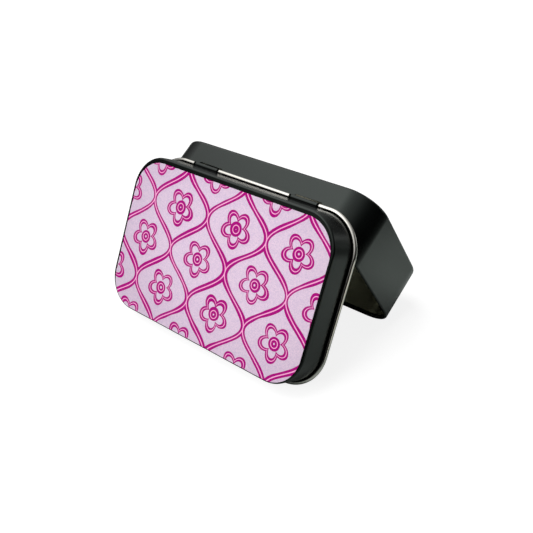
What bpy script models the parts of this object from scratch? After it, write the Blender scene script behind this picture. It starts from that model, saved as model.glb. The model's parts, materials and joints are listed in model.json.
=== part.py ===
# Hinged storage tin, standing open like a tent on the front edges of its lid and base.
# Drawn sheet metal: a base tray with its rim curled inward, and a lid with its edge curled outward.
# Two tabs of the lid are rolled round straps that are pressed out of the tray's back wall.
# Metres, +Z up, +X along the hinge, the printed lid to the front (-Y).

import bpy
import bmesh
from math import acos, atan2, cos, hypot, pi, radians, sin, sqrt
from mathutils import Vector

for old in list(bpy.data.objects):
    bpy.data.objects.remove(old, do_unlink=True)

# Sheet metal and the clearances between the two bodies when the tin is closed
sheet = 0.00025
side_clearance = 0.00035
front_clearance = 0.00105
top_clearance = 0.00035

# Base tray, measured over the outside of the sheet, with heights from the hinge axis
base_width = 0.0910
base_length = 0.0555
base_corner_radius = 0.0120
base_floor_drop = 0.0104
base_rim_rise = 0.0104
base_edge_radius = 0.0012
rim_curl_radius = 0.00055

# Lid, whose skirt ends in a curl that is centred on the hinge axis along the back
lid_edge_radius = 0.0007
lid_curl_radius = 0.0008
lid_curl_end_gap = 0.0005

# Hinge: notches in the lid's curl, rolled tabs inside them and straps through the tabs
hinge_side_inset = 0.0228
notch_length = 0.0127
notch_end_gap = 0.00095
knuckle_radius = 0.00085
knuckle_bend_radius = 0.0003
knuckle_end_gap = 0.0003
strap_pin_radius = 0.0003
strap_leg_thickness = 0.00034
strap_leg_width = 0.0010
strap_bend_radius = 0.00036
window_rise = 0.0012
window_drop = 0.0020
window_corner_radius = 0.0004

# Printed label on the lid's face
label_thickness = 0.0003
label_gap = 0.0002
label_side_inset = 0.0010
label_front_inset = 0.0004
label_back_inset = 0.0018
label_corner_radius = 0.0115

# How far the tin stands open, as the angle between its two rims
open_angle = radians(59.5)

# Fits used by the Boolean steps
cut_overrun = 0.0006
weld_depth = 0.00055

# Facet counts
corner_steps = 10
edge_steps = 4
curl_steps = 12
roll_steps = 18
bend_steps = 5
pin_sides = 14

# Lengths that follow from the sizes above, in the closed tin's own frame.
# v runs from the hinge axis to the front, and heights run up from the axis.
wall_v = lid_curl_radius + side_clearance
skirt_v = lid_curl_radius - sheet
lid_width = base_width + 2 * (side_clearance + sheet)
lid_length = base_length + side_clearance + front_clearance + 2 * sheet
lid_corner_radius = base_corner_radius + side_clearance + sheet
lid_face_rise = base_rim_rise + top_clearance + sheet
knuckle_line_radius = knuckle_radius - sheet / 2
skirt_mid_v = skirt_v + sheet / 2
knuckle_reach = knuckle_line_radius + knuckle_bend_radius
knuckle_bend_v = skirt_mid_v - knuckle_bend_radius
notch_rise = sqrt(knuckle_reach * knuckle_reach - knuckle_bend_v * knuckle_bend_v)
knuckle_half = notch_length / 2 - notch_end_gap
leg_offset = notch_length / 2 - notch_end_gap / 2
window_half = leg_offset - strap_leg_thickness / 2


def material(name, colour, roughness, metallic):
    mat = bpy.data.materials.new(name)
    mat.use_nodes = True
    bsdf = mat.node_tree.nodes["Principled BSDF"]
    bsdf.inputs["Base Color"].default_value = (*colour, 1)
    bsdf.inputs["Roughness"].default_value = roughness
    bsdf.inputs["Metallic"].default_value = metallic
    return mat


def add_object(name, mesh, mat=None):
    obj = bpy.data.objects.new(name, mesh)
    bpy.context.scene.collection.objects.link(obj)
    if mat:
        mesh.materials.append(mat)
    return obj


def plan_ring(width, length, radius, back_v, inset, height):
    """Rounded rectangle, drawn in by an inset, anticlockwise from above."""
    half_x = width / 2 - radius
    half_v = length / 2 - radius
    mid_v = back_v + length / 2
    points = []
    for quarter, (side_x, side_y) in enumerate(((1, 1), (-1, 1), (-1, -1), (1, -1))):
        for step in range(corner_steps + 1):
            angle = (quarter + step / corner_steps) * pi / 2
            x = side_x * half_x + (radius - inset) * cos(angle)
            y = side_y * half_v + (radius - inset) * sin(angle)
            points.append(Vector((x, y - mid_v, height)))
    return points


def arc(centre, radius, start, end, steps):
    """Points of a circle's arc in a cross-section, from one angle to another."""
    points = []
    for step in range(steps + 1):
        angle = start + (end - start) * step / steps
        points.append((centre[0] + radius * cos(angle), centre[1] + radius * sin(angle)))
    return points


def skin(name, rings):
    """Closed solid through a row of rings, each end filled by one face."""
    bm = bmesh.new()
    rows = [[bm.verts.new(point) for point in ring] for ring in rings]
    for row, following in zip(rows, rows[1:]):
        for i, vert in enumerate(row):
            j = (i + 1) % len(row)
            bm.faces.new((vert, row[j], following[j], following[i]))
    bm.faces.new(reversed(rows[0]))
    bm.faces.new(rows[-1])
    return finish_mesh(name, bm)


def finish_mesh(name, bm):
    bmesh.ops.recalc_face_normals(bm, faces=bm.faces)
    mesh = bpy.data.meshes.new(name)
    bm.to_mesh(mesh)
    bm.free()
    mesh.shade_smooth()
    mesh.set_sharp_from_angle(angle=radians(35))
    return mesh


def pressed_shell(name, section, width, length, radius, back_v):
    """Drawn sheet piece: one cross-section of inset and height carried round a rounded rectangle."""
    return skin(name, [plan_ring(width, length, radius, back_v, *point) for point in section])


def rolled_tab(name, line, half_length):
    """Strip of sheet along a centre line of v and height, as long as the tab is wide."""
    outer = []
    inner = []
    for i, (v, h) in enumerate(line):
        before = line[max(i - 1, 0)]
        after = line[min(i + 1, len(line) - 1)]
        run_v = after[0] - before[0]
        run_h = after[1] - before[1]
        run = hypot(run_v, run_h)
        side_v = run_h / run * sheet / 2
        side_h = run_v / run * sheet / 2
        outer.append((v + side_v, h - side_h))
        inner.append((v - side_v, h + side_h))
    bm = bmesh.new()
    rows = []
    for x in (-half_length, half_length):
        rows.append([[bm.verts.new((x, -v, h)) for v, h in side] for side in (outer, inner)])
    for i in range(len(line) - 1):
        for side in (0, 1):
            near = rows[0][side]
            far = rows[1][side]
            bm.faces.new((near[i], near[i + 1], far[i + 1], far[i]))
        for end in rows:
            bm.faces.new((end[0][i], end[0][i + 1], end[1][i + 1], end[1][i]))
    for i in (0, len(line) - 1):
        bm.faces.new((rows[0][0][i], rows[0][1][i], rows[1][1][i], rows[1][0][i]))
    return finish_mesh(name, bm)


def boolean(target, tool, operation):
    mod = target.modifiers.new(tool.name, "BOOLEAN")
    mod.operation = operation
    mod.solver = "EXACT"
    mod.object = tool
    tool.hide_render = True
    tool.display_type = "WIRE"


def block(name, x, half_x, v_range, h_range, radius):
    """Cutter through the back wall: a box whose four long edges are rounded."""
    mid_h = (h_range[0] + h_range[1]) / 2
    half_h = (h_range[1] - h_range[0]) / 2
    rings = []
    for v in v_range:
        ring = []
        for quarter, (side_x, side_h) in enumerate(((1, 1), (-1, 1), (-1, -1), (1, -1))):
            corner = (x + side_x * (half_x - radius), mid_h + side_h * (half_h - radius))
            angles = (quarter * pi / 2, (quarter + 1) * pi / 2)
            ring += [Vector((px, -v, ph)) for px, ph in arc(corner, radius, *angles, edge_steps)]
        rings.append(ring)
    return add_object(name, skin(name, rings))


# Base tray: bottom edge, outer wall, rim curled inward and down, inner wall, floor
def tray_section():
    edge = (base_edge_radius, base_edge_radius - base_floor_drop)
    curl = (rim_curl_radius, base_rim_rise - rim_curl_radius)
    outside = arc(edge, base_edge_radius, -pi / 2, -pi, edge_steps)
    roll_out = arc(curl, rim_curl_radius, pi, -pi / 2, curl_steps)
    roll_in = arc(curl, rim_curl_radius - sheet, -pi / 2, pi, curl_steps)
    inside = arc(edge, base_edge_radius - sheet, -pi, -pi / 2, edge_steps)
    return outside + roll_out + roll_in + inside


# Lid: underside of the face, inner wall, curl outward and up, outer wall, top edge
def lid_section():
    edge = (lid_edge_radius, lid_face_rise - lid_edge_radius)
    curl = (sheet - lid_curl_radius, 0)
    curl_end = acos((lid_curl_radius - sheet - lid_curl_end_gap) / lid_curl_radius) - 2 * pi
    inside = arc(edge, lid_edge_radius - sheet, pi / 2, pi, edge_steps)
    roll_out = arc(curl, lid_curl_radius, 0, curl_end, curl_steps)
    roll_in = arc(curl, lid_curl_radius - sheet, curl_end, 0, curl_steps)
    outside = arc(edge, lid_edge_radius, pi, pi / 2, edge_steps)
    return inside + roll_out + roll_in + outside


# Lid tab: down inside the skirt, tightly outward, round the strap and back up behind it
def knuckle_line():
    start = atan2(notch_rise, knuckle_bend_v)
    bend = arc((knuckle_bend_v, notch_rise), knuckle_bend_radius, 0, start - pi, bend_steps)
    tail = start - tail_turn(knuckle_bend_radius + sheet + knuckle_end_gap)
    roll = arc((0, 0), knuckle_line_radius, start, 2 * pi + tail, roll_steps)
    root = [(skirt_mid_v, notch_rise + weld_depth)]
    return root + bend + roll[1:]


def tail_turn(clear):
    """Angle between the roll's start and its end, which stays clear of the bend's centre."""
    line = knuckle_line_radius
    reach = knuckle_reach
    return acos((line * line + reach * reach - clear * clear) / (2 * line * reach))


# Strap: flat legs out of the wall at the window's ends, drawn round into a pin on the axis
def strap_rings():
    root_v = wall_v + sheet / 2
    bend_x = leg_offset - strap_bend_radius
    turn = arc((bend_x, strap_bend_radius), strap_bend_radius, 0, -pi / 2, bend_steps)
    path = [(leg_offset, root_v, 0, 0)]
    for step, (x, v) in enumerate(turn):
        path.append((x, v, step / bend_steps, step / bend_steps * pi / 2))
    rings = []
    for side in (1, -1):
        half = []
        for x, v, blend, turned in path:
            across = strap_leg_thickness / 2 * (1 - blend) + strap_pin_radius * blend
            upright = strap_leg_width / 2 * (1 - blend) + strap_pin_radius * blend
            ring = []
            for i in range(pin_sides):
                angle = 2 * pi * i / pin_sides
                out = across * cos(angle)
                ring.append(Vector((side * (x + out * cos(turned)),
                                    -(v - out * sin(turned)),
                                    upright * sin(angle))))
            half.append(ring)
        rings += half if side == 1 else half[::-1]
    return rings


paint = material("satin_black_paint", (0.028, 0.029, 0.029), 0.42, 0.0)
print_ground = material("lilac_print", (0.70, 0.56, 0.73), 0.5, 0.0)

tray = add_object("base_tray", pressed_shell("base_tray", tray_section(), base_width, base_length,
                                             base_corner_radius, wall_v), paint)
lid = add_object("lid", pressed_shell("lid", lid_section(), lid_width, lid_length,
                                      lid_corner_radius, skirt_v), paint)

# Label: a thin plate, set nearer to the lid's front edge than to its back edge
label_width = lid_width - 2 * label_side_inset
label_length = lid_length - label_front_inset - label_back_inset
label_plan = (label_width, label_length, label_corner_radius, skirt_v + label_back_inset)
label = add_object("lid_label", skin("lid_label", [plan_ring(*label_plan, 0, height)
                                                   for height in (0, label_thickness)]), print_ground)

# Each hinge: a window and a strap in the tray, a notch and a rolled tab in the lid
tab_mesh = rolled_tab("knuckle", knuckle_line(), knuckle_half)
strap_mesh = skin("strap", strap_rings())
tools = {tray: [], lid: []}
for place, side in (("left", -1), ("right", 1)):
    x = side * (base_width / 2 - hinge_side_inset)
    wall_range = (wall_v - cut_overrun, wall_v + sheet + cut_overrun)
    window = block("window_" + place, x, window_half, wall_range,
                   (-window_drop, window_rise), window_corner_radius)
    strap = add_object("strap_" + place, strap_mesh)
    strap.location.x = x
    curl_range = (-lid_curl_radius - cut_overrun, skirt_v + sheet + cut_overrun)
    notch = block("notch_" + place, x, notch_length / 2, curl_range,
                  (-lid_curl_radius - cut_overrun, notch_rise), cut_overrun / 2)
    knuckle = add_object("knuckle_" + place, tab_mesh)
    knuckle.location.x = x
    tools[tray] += [(window, "DIFFERENCE"), (strap, "UNION")]
    tools[lid] += [(notch, "DIFFERENCE"), (knuckle, "UNION")]

# The tin leans so that the lid's curl and the tray's rim both touch the ground
lid_reach = skirt_v + lid_length - sheet + lid_curl_radius
tray_reach = wall_v + base_length - rim_curl_radius
rim_height = base_rim_rise - rim_curl_radius
even = lid_reach - tray_reach * cos(open_angle) - rim_height * sin(open_angle)
uneven = rim_height * cos(open_angle) - tray_reach * sin(open_angle)
drop = rim_curl_radius - lid_curl_radius
lid_lean = atan2(uneven, even) + acos(drop / hypot(even, uneven))
axis_height = lid_reach * cos(lid_lean) + lid_curl_radius

axis = bpy.data.objects.new("hinge_axis", None)
swing = bpy.data.objects.new("lid_swing", None)
for empty in (axis, swing):
    bpy.context.scene.collection.objects.link(empty)
swing.parent = axis
swing.rotation_euler.x = pi / 2 - lid_lean
label.parent = lid
label.location.z = lid_face_rise + label_gap
lid.parent = swing
tray.parent = axis
tray.rotation_euler.x = pi / 2 - lid_lean + open_angle
for body, steps in tools.items():
    for tool, operation in steps:
        tool.parent = body
        boolean(body, tool, operation)

# The origin lies on the ground under the middle of the standing tin
axis.location.z = axis_height
bpy.context.view_layer.update()
depsgraph = bpy.context.evaluated_depsgraph_get()
corners = []
for piece in (tray, lid, label):
    shape = piece.evaluated_get(depsgraph)
    corners += [shape.matrix_world @ vert.co for vert in shape.to_mesh().vertices]
    shape.to_mesh_clear()
front = min(corner.y for corner in corners)
back = max(corner.y for corner in corners)
axis.location.y = -(front + back) / 2
axis.location.z = axis_height - min(corner.z for corner in corners)
bpy.context.view_layer.update()
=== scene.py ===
import bpy
import bmesh
import json
from math import acos, atan2, cos, hypot, pi, radians, sin, sqrt
from mathutils import Matrix, Vector


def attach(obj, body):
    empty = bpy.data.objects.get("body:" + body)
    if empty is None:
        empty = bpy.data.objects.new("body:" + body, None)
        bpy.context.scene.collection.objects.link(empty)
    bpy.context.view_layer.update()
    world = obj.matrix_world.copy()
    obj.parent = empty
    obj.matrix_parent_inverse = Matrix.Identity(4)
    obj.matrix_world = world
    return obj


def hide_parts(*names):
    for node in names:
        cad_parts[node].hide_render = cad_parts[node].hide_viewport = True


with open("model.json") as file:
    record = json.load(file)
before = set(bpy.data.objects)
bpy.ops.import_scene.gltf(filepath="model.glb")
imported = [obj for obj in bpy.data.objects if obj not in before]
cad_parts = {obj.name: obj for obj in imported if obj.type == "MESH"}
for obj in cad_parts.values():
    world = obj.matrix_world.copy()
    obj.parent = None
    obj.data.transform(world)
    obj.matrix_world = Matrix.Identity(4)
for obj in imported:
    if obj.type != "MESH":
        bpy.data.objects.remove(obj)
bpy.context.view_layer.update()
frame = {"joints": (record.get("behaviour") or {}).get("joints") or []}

# Sizes of the tin in metres, in the closed tin's own frame: +X along the hinge, -Y to the
# front, heights from the hinge axis
SHEET = 0.00025
SIDE_CLEARANCE = 0.00035
FRONT_CLEARANCE = 0.00105
TOP_CLEARANCE = 0.00035
BASE_WIDTH = 0.0910
BASE_LENGTH = 0.0555
BASE_CORNER = 0.0120
BASE_DROP = 0.0104
BASE_RISE = 0.0104
BASE_EDGE = 0.0012
RIM_CURL = 0.00055
# Depth of black paint inside under the rim: a painted reflection and shade of the dark curl
RIM_SHADE_BAND = 0.0012
LID_EDGE = 0.0007
LID_CURL = 0.0008
CURL_END_GAP = 0.0005
HINGE_SPACING = 0.0454
NOTCH_LENGTH = 0.0127
NOTCH_GAP = 0.00095
KNUCKLE_RADIUS = 0.00085
KNUCKLE_BEND = 0.0003
KNUCKLE_END_GAP = 0.0003
PIN_RADIUS = 0.0003
LEG_THICKNESS = 0.00034
LEG_WIDTH = 0.0010
PIN_BEND = 0.00036
WINDOW_RISE = 0.0012
WINDOW_DROP = 0.0020
WINDOW_CORNER = 0.0004
OVERRUN = 0.0006
NOTCH_CORNER = OVERRUN / 2
WELD_DEPTH = 0.00055
OPEN_ANGLE = radians(59.5)

# The printed film on the lid's face
FILM_RISE = 0.00006
FILM_LIFT = 0.00001
FILM_EDGE = 0.00002
FILM_TRIM = 0.00014
FILM_SHIFT = 0.00010
LABEL_SIDE = 0.0010
LABEL_FRONT = 0.0004
LABEL_BACK = 0.0018
LABEL_CORNER = 0.0115

# Facets of the fine surfaces
CORNER_STEPS = 28
EDGE_STEPS = 8
CURL_STEPS = 28
ROLL_STEPS = 40
BEND_STEPS = 12
# Strips of a tab's bend that carry the painted shade
CREASE_SHADE_STEPS = 16
PIN_SIDES = 24
SHARP_ANGLE = radians(40)
NORMAL_WEIGHT = 50

# Lengths that follow from the sizes above: v runs from the hinge axis to the front
WALL_V = LID_CURL + SIDE_CLEARANCE
SKIRT_V = LID_CURL - SHEET
LID_WIDTH = BASE_WIDTH + 2 * (SIDE_CLEARANCE + SHEET)
LID_LENGTH = BASE_LENGTH + SIDE_CLEARANCE + FRONT_CLEARANCE + 2 * SHEET
LID_CORNER = BASE_CORNER + SIDE_CLEARANCE + SHEET
FACE_RISE = BASE_RISE + TOP_CLEARANCE + SHEET
ROLL_RADIUS = KNUCKLE_RADIUS - SHEET / 2
SKIRT_MID = SKIRT_V + SHEET / 2
KNUCKLE_REACH = ROLL_RADIUS + KNUCKLE_BEND
KNUCKLE_BEND_V = SKIRT_MID - KNUCKLE_BEND
NOTCH_RISE = sqrt(KNUCKLE_REACH ** 2 - KNUCKLE_BEND_V ** 2)
KNUCKLE_HALF = NOTCH_LENGTH / 2 - NOTCH_GAP
LEG_OFFSET = NOTCH_LENGTH / 2 - NOTCH_GAP / 2
WINDOW_HALF = LEG_OFFSET - LEG_THICKNESS / 2

# Material slots of the sheet metal
# The third slot is the tin's inner side, darkened as painted shade; the fourth is the black with
# painted shade in the hinge's bends
PAINT, TIN, SHADED_LINING, CREASE_SHADE = 0, 1, 2, 3

# Corners of a rectangle, anticlockwise
QUARTERS = ((1, 1), (-1, 1), (-1, -1), (1, -1))

# Materials: linear colours, noise scales per metre, bump depths in metres
BLACK = (0.0, 0.0, 0.0)
WHITE = (1, 1, 1, 1)
PAINT_TONES = ((0.0012, 0.0017, 0.0016), (0.0020, 0.0026, 0.0025))
PAINT_REFLECTION = (0.88, 1.0, 0.93, 1)
PAINT_ROUGHNESS = (0.19, 0.27)
PAINT_NOISE_RANGE = (0.4, 1.1)
DRIFT_SCALE = 90.0
PEEL_SCALE = 2600.0
PEEL_SHARE = 0.5
PEEL_BUMP = (0.000006, 0.30)
# Painted shade in the hinge's bends: a darker, duller black
CREASE_SHADE_TONES = ((0.0010, 0.0013, 0.0012), (0.0018, 0.0022, 0.0021))
CREASE_ROUGHNESS = 0.5
CREASE_GLOSS = 0.08
BRIGHT_TONES = ((0.74, 0.72, 0.66), (0.82, 0.80, 0.745))
BRIGHT_ROUGHNESS = (0.10, 0.20)
# Painted shade: the tin's inner side, the same bare metal as the bright curl made darker
SHADED_TIN_TONES = ((0.41, 0.405, 0.345), (0.485, 0.48, 0.415))
SHADED_TIN_ROUGHNESS = (0.17, 0.25)
TIN_NOISE_RANGE = (0.6, 1.4)
CLOUD_SCALE = 160.0
GRAIN_SCALE = 4200.0
GRAIN_STRETCH = (0.12, 1.0, 1.0)
GRAIN_DETAIL = 3.0
GRAIN_ROUGHNESS = 0.6
GRAIN_BUMP = (0.000002, 0.25)

# Print: an ogee trellis of drawn double lines, a blossom in each cell, on a sparkling ground
CELL_WIDTH = 0.0270
CELL_HEIGHT = 0.0300
LINE_HALF = 0.00102
CORE_HALF = 0.00020
SWELL_SCALE = 90.0
SWELL = (0.3, 0.7, 0.74, 1.30)
WOBBLE_SCALES = (55.0, 63.0)
WOBBLE = (0.0, 1.0, -0.00045, 0.00045)
BLOSSOM_RADIUS = 0.0058
BLOSSOM_TURN = pi / 10
BLOSSOM_THINNING = 0.00004
PETALS = 5
PETAL_DEPTH_SHARE = 0.42
EYE_SHARE = 0.24
LINE_TONE = (0.43, 0.000, 0.205)
CORE_TONE = (0.98, 0.44, 0.72)
GROUND_TONES = ((0.705, 0.555, 0.735), (0.79, 0.60, 0.735))
SHEEN_SCALE = 28.0
SPARKLE_TONES = ((0.63, 0.52, 0.73), (1.0, 0.80, 0.93))
SPARKLE_SCALE = 3600.0
SPARKLE_SHARE = 0.45
SPARKLE_BUMP = (0.00001, 0.25)
# Painted shade over the ground: its centre, its reach, and how far the ground darkens
LABEL_SHADE_CENTRE = (0.008, -0.026)
LABEL_SHADE_REACH = (0.050, 0.034)
LABEL_SHADE = (0.2, 1.2, 0.0, 0.14)
FILM_ROUGHNESS = (0.38, 0.55)
FILM_GLOSS = 0.18


# Node graph helpers

class Graph:
    """Adds nodes to a tree and links them."""

    def __init__(self, tree):
        self.tree = tree

    def link(self, source, socket):
        self.tree.links.new(source, socket)

    def node(self, kind, **sources):
        made = self.tree.nodes.new(kind)
        for name, source in sources.items():
            self.link(source, made.inputs[name])
        return made

    def axes(self, where):
        made = self.node("ShaderNodeSeparateXYZ", Vector=where)
        return made.outputs["X"], made.outputs["Y"], made.outputs["Z"]

    def math(self, operation, *terms):
        made = self.tree.nodes.new("ShaderNodeMath")
        made.operation = operation
        for socket, term in zip(made.inputs, terms):
            if isinstance(term, (int, float)):
                socket.default_value = term
            else:
                self.link(term, socket)
        return made.outputs[0]

    def product(self, first, *others):
        for other in others:
            first = self.math("MULTIPLY", first, other)
        return first

    def square_sum(self, x, y):
        return self.math("ADD", self.product(x, x), self.product(y, y))

    def along(self, x, y, way):
        """Distance of a place along a level direction."""
        return self.math("ADD", self.product(x, way[0]), self.product(y, way[1]))

    def noise(self, coordinates, scale, detail, roughness=0.5):
        made = self.node("ShaderNodeTexNoise", Vector=coordinates)
        made.inputs["Scale"].default_value = scale
        made.inputs["Detail"].default_value = detail
        made.inputs["Roughness"].default_value = roughness
        return made.outputs["Fac"]

    def spread(self, value, low, high, to_low, to_high):
        """Maps the range low to high on the range to_low to to_high, and holds its ends."""
        made = self.node("ShaderNodeMapRange", Value=value)
        made.inputs["From Min"].default_value = low
        made.inputs["From Max"].default_value = high
        made.inputs["To Min"].default_value = to_low
        made.inputs["To Max"].default_value = to_high
        return made.outputs["Result"]

    def mix(self, factor, first, second):
        made = self.tree.nodes.new("ShaderNodeMix")
        made.data_type = "RGBA"
        sources = (factor, first, second)
        for socket, source in zip((made.inputs[0], made.inputs[6], made.inputs[7]), sources):
            if isinstance(source, (int, float)):
                socket.default_value = source
            elif isinstance(source, tuple):
                socket.default_value = (*source, 1)
            else:
                self.link(source, socket)
        return made.outputs[2]


def new_material(name):
    mat = bpy.data.materials.new(name)
    mat.use_nodes = True
    graph = Graph(mat.node_tree)
    bsdf = mat.node_tree.nodes["Principled BSDF"]
    where = graph.node("ShaderNodeTexCoord").outputs["Object"]
    return mat, graph, bsdf, where


def add_bump(graph, bsdf, height, distance, strength):
    bump = graph.node("ShaderNodeBump", Height=height)
    bump.inputs["Distance"].default_value = distance
    bump.inputs["Strength"].default_value = strength
    graph.link(bump.outputs["Normal"], bsdf.inputs["Normal"])


def paint_material():
    """Satin black stove paint: faint tone drift, fine orange peel and uneven gloss."""
    mat, graph, bsdf, where = new_material("satin_black_paint")
    drift = graph.noise(where, DRIFT_SCALE, 2.0)
    fine = graph.noise(where, PEEL_SCALE, 2.0)
    graph.link(graph.mix(drift, *PAINT_TONES), bsdf.inputs["Base Color"])
    uneven = graph.math("ADD", drift, graph.product(fine, PEEL_SHARE))
    gloss = graph.spread(uneven, *PAINT_NOISE_RANGE, *PAINT_ROUGHNESS)
    graph.link(gloss, bsdf.inputs["Roughness"])
    bsdf.inputs["Specular Tint"].default_value = PAINT_REFLECTION
    add_bump(graph, bsdf, fine, *PEEL_BUMP)
    return mat


def crease_shade_material():
    """The same black, darker and duller in the hinge's bends: painted shade in the groove."""
    mat, graph, bsdf, where = new_material("shaded_black_paint")
    fine = graph.noise(where, PEEL_SCALE, 2.0)
    graph.link(graph.mix(fine, *CREASE_SHADE_TONES), bsdf.inputs["Base Color"])
    bsdf.inputs["Roughness"].default_value = CREASE_ROUGHNESS
    bsdf.inputs["Specular IOR Level"].default_value = CREASE_GLOSS
    add_bump(graph, bsdf, fine, *PEEL_BUMP)
    return mat


def tin_material(name, tones, roughness):
    """Bare tinplate: slightly warm, with a soft rolling grain and small dull flecks."""
    mat, graph, bsdf, where = new_material(name)
    stretched = graph.node("ShaderNodeMapping", Vector=where)
    stretched.inputs["Scale"].default_value = GRAIN_STRETCH
    grain = graph.noise(stretched.outputs[0], GRAIN_SCALE, GRAIN_DETAIL, GRAIN_ROUGHNESS)
    cloud = graph.noise(where, CLOUD_SCALE, 3.0)
    graph.link(graph.mix(cloud, *tones), bsdf.inputs["Base Color"])
    bsdf.inputs["Metallic"].default_value = 1.0
    rough = graph.spread(graph.math("ADD", grain, cloud), *TIN_NOISE_RANGE, *roughness)
    graph.link(rough, bsdf.inputs["Roughness"])
    add_bump(graph, bsdf, grain, *GRAIN_BUMP)
    return mat


# Shape helpers

def add_object(name, mesh, mats):
    obj = bpy.data.objects.new(name, mesh)
    bpy.context.scene.collection.objects.link(obj)
    for mat in mats:
        mesh.materials.append(mat)
    return obj


def plan_ring(width, length, radius, back_v, inset, height):
    """Rounded rectangle, drawn in by an inset, anticlockwise from above."""
    half_x = width / 2 - radius
    half_v = length / 2 - radius
    mid_v = back_v + length / 2
    points = []
    for quarter, (side_x, side_y) in enumerate(QUARTERS):
        for step in range(CORNER_STEPS + 1):
            angle = (quarter + step / CORNER_STEPS) * pi / 2
            x = side_x * half_x + (radius - inset) * cos(angle)
            y = side_y * half_v + (radius - inset) * sin(angle)
            points.append(Vector((x, y - mid_v, height)))
    return points


def arc(centre, radius, start, end, steps):
    points = []
    for step in range(steps + 1):
        angle = start + (end - start) * step / steps
        points.append((centre[0] + radius * cos(angle), centre[1] + radius * sin(angle)))
    return points


def finish_mesh(name, bm):
    bmesh.ops.recalc_face_normals(bm, faces=bm.faces)
    mesh = bpy.data.meshes.new(name)
    bm.to_mesh(mesh)
    bm.free()
    return mesh


def skin(name, rings, kinds=None, ends=(PAINT, PAINT)):
    """Closed solid through a row of rings, each end filled by one face."""
    bm = bmesh.new()
    rows = [[bm.verts.new(point) for point in ring] for ring in rings]
    for k, (row, following) in enumerate(zip(rows, rows[1:])):
        for i, vert in enumerate(row):
            j = (i + 1) % len(row)
            face = bm.faces.new((vert, row[j], following[j], following[i]))
            face.material_index = kinds[k] if kinds else PAINT
    bm.faces.new(reversed(rows[0])).material_index = ends[0]
    bm.faces.new(rows[-1]).material_index = ends[1]
    return finish_mesh(name, bm)


def rolled_tab(name, line, shaded_strips, half_length):
    """Strip of sheet along a centre line of v and height: painted on its outer side, with painted
    shade in its bend.
    """
    sides = ([], [])
    for i, (v, h) in enumerate(line):
        before = line[max(i - 1, 0)]
        after = line[min(i + 1, len(line) - 1)]
        run_v, run_h = after[0] - before[0], after[1] - before[1]
        run = hypot(run_v, run_h)
        side_v = run_h / run * SHEET / 2
        side_h = run_v / run * SHEET / 2
        sides[0].append((v + side_v, h - side_h))
        sides[1].append((v - side_v, h + side_h))
    bm = bmesh.new()
    rows = [[[bm.verts.new((x, -v, h)) for v, h in side] for side in sides]
            for x in (-half_length, half_length)]
    for i in range(len(line) - 1):
        # The outer side's first strips, round the bend, take the black with painted shade; the
        # inner side takes the darker tin with painted shade
        for side, kind in ((0, CREASE_SHADE if i < shaded_strips else PAINT), (1, SHADED_LINING)):
            near, far = rows[0][side], rows[1][side]
            bm.faces.new((near[i], near[i + 1], far[i + 1], far[i])).material_index = kind
        for end in rows:
            bm.faces.new((end[0][i], end[0][i + 1], end[1][i + 1], end[1][i]))
    for i in (0, len(line) - 1):
        bm.faces.new((rows[0][0][i], rows[0][1][i], rows[1][1][i], rows[1][0][i]))
    return finish_mesh(name, bm)


def cutter(name, x, half_x, v_range, h_range, radius, mats):
    """Block with rounded corners that cuts through a wall at x."""
    mid_h = (h_range[0] + h_range[1]) / 2
    half_h = (h_range[1] - h_range[0]) / 2
    rings = []
    for v in v_range:
        ring = []
        for quarter, (side_x, side_h) in enumerate(QUARTERS):
            corner = (x + side_x * (half_x - radius), mid_h + side_h * (half_h - radius))
            angles = (quarter * pi / 2, (quarter + 1) * pi / 2)
            ring += [Vector((px, -v, ph)) for px, ph in arc(corner, radius, *angles, EDGE_STEPS)]
        rings.append(ring)
    return add_object(name, skin(name, rings), mats)


def carve(target, steps):
    """Applies the Boolean steps, deletes their tools and shades the result."""
    for tool, operation in steps:
        mod = target.modifiers.new(tool.name, "BOOLEAN")
        mod.operation = operation
        mod.solver = "EXACT"
        mod.object = tool
    bpy.context.view_layer.update()
    depsgraph = bpy.context.evaluated_depsgraph_get()
    mesh = bpy.data.meshes.new_from_object(target.evaluated_get(depsgraph))
    target.modifiers.clear()
    target.data = mesh
    for tool, _ in steps:
        bpy.data.objects.remove(tool, do_unlink=True)
    shade(target)


def shade(obj):
    obj.data.shade_smooth()
    obj.data.set_sharp_from_angle(angle=SHARP_ANGLE)
    mod = obj.modifiers.new("even_normals", "WEIGHTED_NORMAL")
    mod.keep_sharp = True
    mod.weight = NORMAL_WEIGHT


# Cross-sections: points as inset and height, and the material of each strip between them

def tray_section():
    edge = (BASE_EDGE, BASE_EDGE - BASE_DROP)
    curl = (RIM_CURL, BASE_RISE - RIM_CURL)
    outside = arc(edge, BASE_EDGE, -pi / 2, -pi, EDGE_STEPS)
    roll_out = arc(curl, RIM_CURL, pi, -pi / 2, CURL_STEPS)
    roll_in = arc(curl, RIM_CURL - SHEET, -pi / 2, pi, CURL_STEPS)
    inside = arc(edge, BASE_EDGE - SHEET, -pi, -pi / 2, EDGE_STEPS)
    # Black paint carried down inside below the rim: a painted reflection and shade of the dark curl
    shade_band_end = (SHEET, BASE_RISE - RIM_CURL - RIM_SHADE_BAND)
    points = outside + roll_out + roll_in + [shade_band_end] + inside
    kinds = [PAINT] * (len(outside) + len(roll_out) + len(roll_in))
    # The tray's inside takes the darker tin, as painted shade
    kinds += [SHADED_LINING] * (len(points) - 1 - len(kinds))
    return points, kinds


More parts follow.
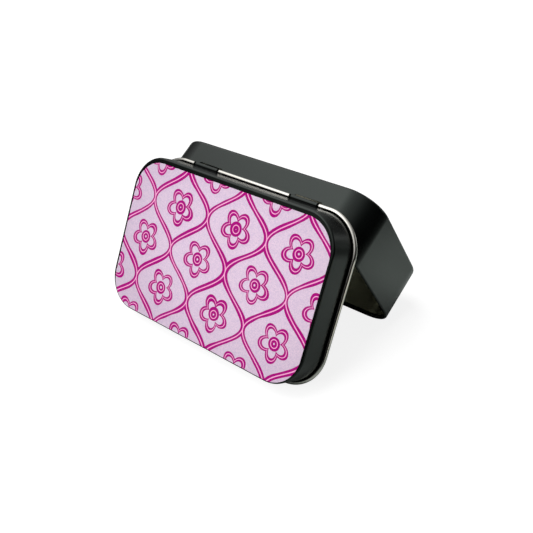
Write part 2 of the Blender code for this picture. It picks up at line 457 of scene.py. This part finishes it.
def lid_section():
    edge = (LID_EDGE, FACE_RISE - LID_EDGE)
    curl = (SHEET - LID_CURL, 0)
    curl_end = acos((LID_CURL - SHEET - CURL_END_GAP) / LID_CURL) - 2 * pi
    inside = arc(edge, LID_EDGE - SHEET, pi / 2, pi, EDGE_STEPS)
    roll_out = arc(curl, LID_CURL, 0, curl_end, CURL_STEPS)
    roll_in = arc(curl, LID_CURL - SHEET, curl_end, 0, CURL_STEPS)
    outside = arc(edge, LID_EDGE, pi, pi / 2, EDGE_STEPS)
    points = inside + roll_out + roll_in + outside
    # The lid's inside takes the darker tin, as painted shade; its curl takes the bright tin
    kinds = [SHADED_LINING] * len(inside) + [TIN] * len(roll_out)
    kinds += [PAINT] * (len(roll_in) + len(outside) - 1)
    return points, kinds


def knuckle_line():
    """Centre line of a tab: out of the skirt, round its bend, round the pin, ending in the bend."""
    start = atan2(NOTCH_RISE, KNUCKLE_BEND_V)
    bend = arc((KNUCKLE_BEND_V, NOTCH_RISE), KNUCKLE_BEND, 0, start - pi, BEND_STEPS)
    clear = KNUCKLE_BEND + SHEET + KNUCKLE_END_GAP
    closing = ROLL_RADIUS ** 2 + KNUCKLE_REACH ** 2 - clear ** 2
    closing /= 2 * ROLL_RADIUS * KNUCKLE_REACH
    roll = arc((0, 0), ROLL_RADIUS, start, 2 * pi + start - acos(closing), ROLL_STEPS)
    return [(SKIRT_MID, NOTCH_RISE + WELD_DEPTH)] + bend + roll[1:]


def strap_rings():
    """Rings of a strap: a flat leg out of the wall, a round pin on the axis, the other leg."""
    bend_x = LEG_OFFSET - PIN_BEND
    path = [(LEG_OFFSET, WALL_V + SHEET / 2, 0, 0)]
    for step, (x, v) in enumerate(arc((bend_x, PIN_BEND), PIN_BEND, 0, -pi / 2, BEND_STEPS)):
        path.append((x, v, step / BEND_STEPS, step / BEND_STEPS * pi / 2))
    rings = []
    for side in (1, -1):
        half = []
        for x, v, blend, turned in path:
            across = LEG_THICKNESS / 2 * (1 - blend) + PIN_RADIUS * blend
            upright = LEG_WIDTH / 2 * (1 - blend) + PIN_RADIUS * blend
            ring = []
            for i in range(PIN_SIDES):
                angle = 2 * pi * i / PIN_SIDES
                out = across * cos(angle)
                ring.append(Vector((side * (x + out * cos(turned)),
                                    -(v - out * sin(turned)),
                                    upright * sin(angle))))
            half.append(ring)
        rings += half if side == 1 else half[::-1]
    return rings


# How the tin stands: the same lean as the solids, over the same hinge axis

joint = next(j for j in frame["joints"] if j["name"] == "lid_hinge")
axis_place = Vector(joint["pos_m"])
lid_reach = SKIRT_V + LID_LENGTH - SHEET + LID_CURL
tray_reach = WALL_V + BASE_LENGTH - RIM_CURL
rim_height = BASE_RISE - RIM_CURL
even = lid_reach - tray_reach * cos(OPEN_ANGLE) - rim_height * sin(OPEN_ANGLE)
uneven = rim_height * cos(OPEN_ANGLE) - tray_reach * sin(OPEN_ANGLE)
lid_lean = atan2(uneven, even) + acos((RIM_CURL - LID_CURL) / hypot(even, uneven))
lid_place = Matrix.Translation(axis_place) @ Matrix.Rotation(pi / 2 - lid_lean, 4, "X")
tray_place = Matrix.Translation(axis_place) @ Matrix.Rotation(
    pi / 2 - lid_lean + OPEN_ANGLE, 4, "X")

paint = paint_material()
bright_tin = tin_material("bright_tinplate", BRIGHT_TONES, BRIGHT_ROUGHNESS)
# The inner tinplate, darker than the outer: painted shade inside the tin
shaded_tin = tin_material("shaded_tinplate", SHADED_TIN_TONES, SHADED_TIN_ROUGHNESS)
metal = (paint, bright_tin, shaded_tin, crease_shade_material())

section, kinds = tray_section()
rings = [plan_ring(BASE_WIDTH, BASE_LENGTH, BASE_CORNER, WALL_V, *point) for point in section]
tray = add_object("tin_base", skin("tin_base", rings, kinds, (PAINT, SHADED_LINING)), metal)
section, kinds = lid_section()
rings = [plan_ring(LID_WIDTH, LID_LENGTH, LID_CORNER, SKIRT_V, *point) for point in section]
lid = add_object("tin_lid", skin("tin_lid", rings, kinds, (SHADED_LINING, PAINT)), metal)

tray_steps = []
lid_steps = []
for place, side in (("left", -1), ("right", 1)):
    x = side * HINGE_SPACING / 2
    window = cutter("window_" + place, x, WINDOW_HALF,
                    (WALL_V - OVERRUN, WALL_V + SHEET + OVERRUN),
                    (-WINDOW_DROP, WINDOW_RISE), WINDOW_CORNER, metal)
    strap = add_object("strap_" + place, skin("strap", strap_rings()), metal)
    strap.location.x = x
    notch = cutter("notch_" + place, x, NOTCH_LENGTH / 2,
                   (-LID_CURL - OVERRUN, SKIRT_V + SHEET + OVERRUN),
                   (-LID_CURL - OVERRUN, NOTCH_RISE), NOTCH_CORNER, metal)
    tab = rolled_tab("knuckle", knuckle_line(), CREASE_SHADE_STEPS, KNUCKLE_HALF)
    knuckle = add_object("knuckle_" + place, tab, metal)
    knuckle.location.x = x
    tray_steps += [(window, "DIFFERENCE"), (strap, "UNION")]
    lid_steps += [(notch, "DIFFERENCE"), (knuckle, "UNION")]
carve(tray, tray_steps)
carve(lid, lid_steps)
tray.data.transform(tray_place)
lid.data.transform(lid_place)


# Printed film on the lid's face

def label_material():
    mat, graph, bsdf, where = new_material("printed_lilac_film")
    x, y, _ = graph.axes(where)
    wobbles = [graph.spread(graph.noise(where, scale, 1.0), *WOBBLE) for scale in WOBBLE_SCALES]
    u = graph.math("ADD", x, wobbles[0])
    v = graph.math("ADD", y, wobbles[1])

    def wrap(value, span):
        shifted = graph.math("ADD", value, span / 2)
        turns = graph.math("FLOOR", graph.math("DIVIDE", shifted, span))
        return graph.math("SUBTRACT", value, graph.product(turns, span))

    def wave_line(offset, across):
        """Distance to the nearest of a row of waved lines."""
        return graph.math("ABSOLUTE", graph.math("DIVIDE", wrap(offset, CELL_WIDTH), across))

    phase = graph.product(v, 2 * pi / CELL_HEIGHT)
    swing = graph.product(graph.math("COSINE", phase), CELL_WIDTH / 4)
    slope = graph.product(graph.math("SINE", phase), CELL_WIDTH / 4 * 2 * pi / CELL_HEIGHT)
    across = graph.math("SQRT", graph.math("ADD", graph.product(slope, slope), 1.0))
    halfway = graph.math("SUBTRACT", u, CELL_WIDTH / 2)
    trellis = graph.math("MINIMUM", wave_line(graph.math("SUBTRACT", u, swing), across),
                         wave_line(graph.math("ADD", halfway, swing), across))

    def blossom(centre_u, centre_v):
        """Distance to the outline of a blossom and its eye."""
        du = wrap(graph.math("SUBTRACT", u, centre_u), CELL_WIDTH)
        dv = wrap(graph.math("SUBTRACT", v, centre_v), CELL_HEIGHT)
        far = graph.math("SQRT", graph.square_sum(du, dv))
        angle = graph.math("ADD", graph.math("ARCTAN2", dv, du), BLOSSOM_TURN)
        lobe = graph.math("ABSOLUTE", graph.math("COSINE", graph.product(angle, PETALS / 2)))
        swollen = graph.math("ADD", graph.product(lobe, PETAL_DEPTH_SHARE), 1 - PETAL_DEPTH_SHARE)
        edge = graph.product(swollen, BLOSSOM_RADIUS)
        petal = graph.math("ABSOLUTE", graph.math("SUBTRACT", far, edge))
        eye = graph.math("ABSOLUTE", graph.math("SUBTRACT", far, BLOSSOM_RADIUS * EYE_SHARE))
        return graph.math("MINIMUM", petal, eye)

    flowers = graph.math("MINIMUM", blossom(CELL_WIDTH / 4, CELL_HEIGHT / 2),
                         blossom(3 * CELL_WIDTH / 4, 0.0))
    line = graph.math("MINIMUM", trellis, graph.math("ADD", flowers, BLOSSOM_THINNING))
    swell = graph.spread(graph.noise(where, SWELL_SCALE, 1.0), *SWELL)
    outer = graph.math("LESS_THAN", line, graph.product(swell, LINE_HALF))
    inner = graph.math("LESS_THAN", line, CORE_HALF)

    sparkle = graph.node("ShaderNodeTexVoronoi", Vector=where)
    sparkle.inputs["Scale"].default_value = SPARKLE_SCALE
    tint = graph.node("ShaderNodeSeparateColor", Color=sparkle.outputs["Color"])
    ground = graph.mix(graph.noise(where, SHEEN_SCALE, 2.0), *GROUND_TONES)
    grain = graph.mix(tint.outputs[0], *SPARKLE_TONES)
    ground = graph.mix(SPARKLE_SHARE, ground, grain)
    # Painted shade: the ground darkens, by up to 0.14, away from a point a little right of the
    # label's middle
    offsets = [graph.math("DIVIDE", graph.math("SUBTRACT", axis, centre), reach)
               for axis, centre, reach in zip((x, y), LABEL_SHADE_CENTRE, LABEL_SHADE_REACH)]
    label_shade = graph.spread(graph.square_sum(*offsets), *LABEL_SHADE)
    ground = graph.mix(label_shade, ground, BLACK)
    colour = graph.mix(outer, ground, LINE_TONE)
    colour = graph.mix(inner, colour, CORE_TONE)
    graph.link(colour, bsdf.inputs["Base Color"])
    rough = graph.spread(tint.outputs[1], 0.0, 1.0, *FILM_ROUGHNESS)
    graph.link(rough, bsdf.inputs["Roughness"])
    bsdf.inputs["Specular IOR Level"].default_value = FILM_GLOSS
    add_bump(graph, bsdf, tint.outputs[2], *SPARKLE_BUMP)
    return mat


label_width = LID_WIDTH - 2 * (LABEL_SIDE + FILM_TRIM)
label_length = LID_LENGTH - LABEL_FRONT - LABEL_BACK - 2 * FILM_TRIM
label_back_v = SKIRT_V + LABEL_BACK + FILM_TRIM
label_plan = (label_width, label_length, LABEL_CORNER - FILM_TRIM, label_back_v)
label_levels = ((0, 0), (0, FILM_RISE - FILM_EDGE), (FILM_EDGE, FILM_RISE))
label_rings = [plan_ring(*label_plan, inset, FACE_RISE + FILM_LIFT + height)
               for inset, height in label_levels]
label = add_object("printed_label", skin("printed_label", label_rings), (label_material(),))
shade(label)
label.matrix_world = lid_place @ Matrix.Translation((FILM_SHIFT, 0, 0))

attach(tray, "base")
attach(lid, "lid")
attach(label, "lid")
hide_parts("base_tray")
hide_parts("lid")
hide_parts("lid_label")


# Stage: pale floor, soft light, white background. Each band below is a start and an end, and the
# levels there.

FLOOR_HALF = 3.0
FLOOR_TONE = (0.35, 0.35, 0.35)
FLOOR_SHOWN_TONE = (0.32, 0.32, 0.32)
FLOOR_GLOW = (0.30, 0.70, 0.86, 1.0)

# The floor that the tin mirrors is painted with light and shade: a painted pool of light round it,
# with painted shade in bands on both sides of a slanted line and beside its right flank, a painted
# shadow between its feet, a painted patch of light to the right and some painted light far behind
POOL_EDGE = (0.106, 0.155, 1.0, 0.30)
POOL_FADE = (0.16, 0.45, 1.0, 0.4)
SLANT_WAY = (-0.35, 0.94)
SLANT_BANDS = ((0.002, 0.024, 0.62, 1.0), (-0.030, -0.002, 0.76, 1.0), (0.018, 0.032, 1.0, 0.84))
UNDER_SIDES = (0.028, 0.048, 0.07, 1.0)
UNDER_FRONT = (-0.050, -0.038, 0.40, 0.07)
FLANK_WAY = (0.857, -0.514)
FLANK_BAND = (0.058, 0.068, 1.0, 0.60)
DIM_BACK = (0.030, 0.052, 0.0, 0.46)
DIM_FLANK = (0.045, 0.050, 0.0, 1.0)
PATCH_RIGHT = (0.112, 0.132, 0.0, 1.0)
PATCH_BACK = (0.030, 0.060, 1.0, 0.0)
PATCH_FRONT = (-0.120, -0.070, 0.0, 1.0)
PATCH_FADE = (0.22, 0.50, 1.0, 0.3)
REAR_BACK = (0.100, 0.220, 0.0, 0.46)
REAR_FLANK = (0.045, 0.110, 1.0, 0.0)
POOL_TINT = (0.92, 1.0, 0.95)
PATCH_TINT = (1.0, 0.98, 0.88)

# The studio that the tin mirrors, from its left side over its top to its right: places and half
# levels, then the parts that are darker or lighter by X, Y and Z of the direction
ROOM_LEVELS = ((0.02, 0.12), (0.06, 0.17), (0.11, 0.27), (0.15, 0.43), (0.19, 0.76),
               (0.25, 0.98), (0.32, 0.98), (0.42, 0.62), (0.52, 0.42), (0.62, 0.32),
               (0.71, 0.25), (0.79, 0.14), (0.87, 0.06), (0.95, 0.02))
ROOM_GAIN = 2.0
ROOM_TURN = (-0.12, 0.02, 0.0, 0.06)
LOW_DARK = (0.10, 0.60, 0.66, 0.0)
FRONT_DARK = (-0.20, -0.50, 0.0, 0.97)
FRONT_LOW = (0.25, 0.48, 1.0, 0.0)
BACK_DARK = (0.15, 0.55, 0.0, 0.60)
REAR_LIGHT = ((0.20, 0.42, 0.0, 0.85), (0.60, 0.85, 0.0, 1.0), (0.15, 0.35, 1.0, 0.0))
AMBIENT = 0.08


def unlit_rays(graph):
    """Outputs of the light path, and whether a ray hasn't yet bounced off a matt surface."""
    rays = graph.node("ShaderNodeLightPath").outputs
    return rays, graph.math("LESS_THAN", rays["Diffuse Depth"], 0.5)


def mirrored_painted_light(graph, x, y, far):
    """Level of the painted light and shade on the floor as the tin mirrors it, and the share of the
    painted patch of light in it.
    """
    pool = graph.product(graph.spread(far, *POOL_EDGE), graph.spread(far, *POOL_FADE))
    slant = graph.along(x, y, SLANT_WAY)
    for band in SLANT_BANDS:
        pool = graph.product(pool, graph.spread(slant, *band))
    # Painted shadow under the tin, between its feet
    under = graph.math("MAXIMUM", graph.spread(graph.math("ABSOLUTE", x), *UNDER_SIDES),
                       graph.spread(y, *UNDER_FRONT))
    flank = graph.along(x, y, FLANK_WAY)
    dim = graph.product(graph.spread(y, *DIM_BACK), graph.spread(flank, *DIM_FLANK))
    pool = graph.product(pool, under, graph.spread(flank, *FLANK_BAND),
                         graph.math("SUBTRACT", 1.0, dim))
    patch = graph.product(graph.spread(x, *PATCH_RIGHT), graph.spread(y, *PATCH_BACK),
                          graph.spread(y, *PATCH_FRONT), graph.spread(far, *PATCH_FADE))
    rear = graph.product(graph.spread(y, *REAR_BACK), graph.spread(flank, *REAR_FLANK))
    return graph.math("MAXIMUM", graph.math("MAXIMUM", pool, patch), rear), patch


def stage_floor():
    bm = bmesh.new()
    bmesh.ops.create_grid(bm, x_segments=1, y_segments=1, size=FLOOR_HALF)
    mesh = bpy.data.meshes.new("floor")
    bm.to_mesh(mesh)
    bm.free()
    mat, graph, bsdf, where = new_material("pale_floor")
    floor = add_object("floor", mesh, (mat,))
    x, y, _ = graph.axes(where)
    far = graph.math("SQRT", graph.square_sum(x, y))
    pool, patch = mirrored_painted_light(graph, x, y, far)
    rays, unlit = unlit_rays(graph)
    mirrored = graph.math("MAXIMUM", rays["Is Glossy Ray"], rays["Is Transmission Ray"])
    mirrored = graph.product(mirrored, unlit)
    # Mirror rays see the floor's painted light and shade; other rays see the plain floor tone
    shown = graph.mix(pool, BLACK, graph.mix(patch, POOL_TINT, PATCH_TINT))
    colour = graph.mix(mirrored, FLOOR_TONE, shown)
    colour = graph.mix(rays["Is Camera Ray"], colour, FLOOR_SHOWN_TONE)
    graph.link(colour, bsdf.inputs["Base Color"])
    bsdf.inputs["Roughness"].default_value = 1.0
    bsdf.inputs["Specular IOR Level"].default_value = 0.0
    bsdf.inputs["Emission Color"].default_value = WHITE
    glow = graph.product(rays["Is Camera Ray"], graph.spread(far, *FLOOR_GLOW))
    graph.link(glow, bsdf.inputs["Emission Strength"])


def studio_world():
    world = bpy.data.worlds.new("studio")
    world.use_nodes = True
    bpy.context.scene.world = world
    graph = Graph(world.node_tree)
    backdrop = world.node_tree.nodes["Background"]
    x, y, z = graph.axes(graph.node("ShaderNodeTexCoord").outputs["Generated"])

    aside = graph.math("ADD", x, graph.spread(y, *ROOM_TURN))
    ramp = graph.node("ShaderNodeValToRGB", Fac=graph.spread(aside, -1.0, 1.0, 0.0, 1.0))
    stops = ramp.color_ramp.elements
    for place, level in ROOM_LEVELS:
        stops.new(place).color = (level, level, level, 1)
    stops.remove(stops[0])
    stops.remove(stops[-1])
    front_dark = graph.product(graph.spread(y, *FRONT_DARK), graph.spread(z, *FRONT_LOW))
    room = graph.product(ramp.outputs["Color"], ROOM_GAIN)
    for dark in (graph.spread(z, *LOW_DARK), front_dark, graph.spread(y, *BACK_DARK)):
        room = graph.product(room, graph.math("SUBTRACT", 1.0, dark))
    rear = [graph.spread(axis, *band) for axis, band in zip((x, y, z), REAR_LIGHT)]
    room = graph.math("MAXIMUM", room, graph.product(*rear))

    rays, unlit = unlit_rays(graph)
    clear = graph.math("MAXIMUM", rays["Is Camera Ray"], rays["Is Transmission Ray"])
    glossy = graph.product(rays["Is Glossy Ray"], unlit)
    ambient = graph.product(graph.math("SUBTRACT", 1.0, glossy), AMBIENT)
    lit = graph.math("ADD", graph.product(glossy, room), ambient)
    backdrop.inputs["Color"].default_value = WHITE
    graph.link(graph.math("MAXIMUM", clear, lit), backdrop.inputs["Strength"])


# Lamps: name, direction from the tin, side of the square and power
LAMPS = (("overhead", (-0.20, -0.30, 0.93), 0.60, 4.8),
         ("front", (-0.10, -0.80, 0.58), 0.50, 2.75))
LAMP_DISTANCE = 0.80
LAMP_AIM = Vector((0, 0, 0.03))


def soft_box(name, toward, size, power):
    light = bpy.data.lights.new(name, "AREA")
    light.shape = "SQUARE"
    light.size = size
    light.energy = power
    lamp = add_object(name, light, ())
    way = Vector(toward).normalized()
    lamp.location = way * LAMP_DISTANCE + LAMP_AIM
    lamp.rotation_euler = way.to_track_quat("Z", "Y").to_euler()
    lamp.visible_camera = False
    lamp.visible_glossy = False


stage_floor()
studio_world()
for lamp in LAMPS:
    soft_box(*lamp)

# Camera: the photograph's view, given from the hinge axis
AZIMUTH = radians(43.107)
ELEVATION = radians(31.280)
ROLL = radians(-2.996)
DISTANCE = 0.26387
ASIDE = 0.00453
ABOVE = -0.02859
FOCAL_PIXELS = 765.26
IMAGE_PIXELS = 533
SENSOR = 36.0
CLIP_START = 0.01

back = Vector((sin(AZIMUTH) * cos(ELEVATION), -cos(AZIMUTH) * cos(ELEVATION), sin(ELEVATION)))
level = Vector((cos(AZIMUTH), sin(AZIMUTH), 0))
upward = back.cross(level)
right = cos(ROLL) * level + sin(ROLL) * upward
up = cos(ROLL) * upward - sin(ROLL) * level
view = bpy.data.cameras.new("camera")
view.sensor_width = SENSOR
view.lens = FOCAL_PIXELS / IMAGE_PIXELS * SENSOR
view.clip_start = CLIP_START
camera = add_object("camera", view, ())
turned = Matrix((right, up, back)).transposed().to_4x4()
camera.matrix_world = Matrix.Translation(
    axis_place + back * DISTANCE + right * ASIDE + up * ABOVE) @ turned
bpy.context.scene.camera = camera
bpy.context.scene.view_settings.view_transform = "Standard"

bpy.context.view_layer.update()
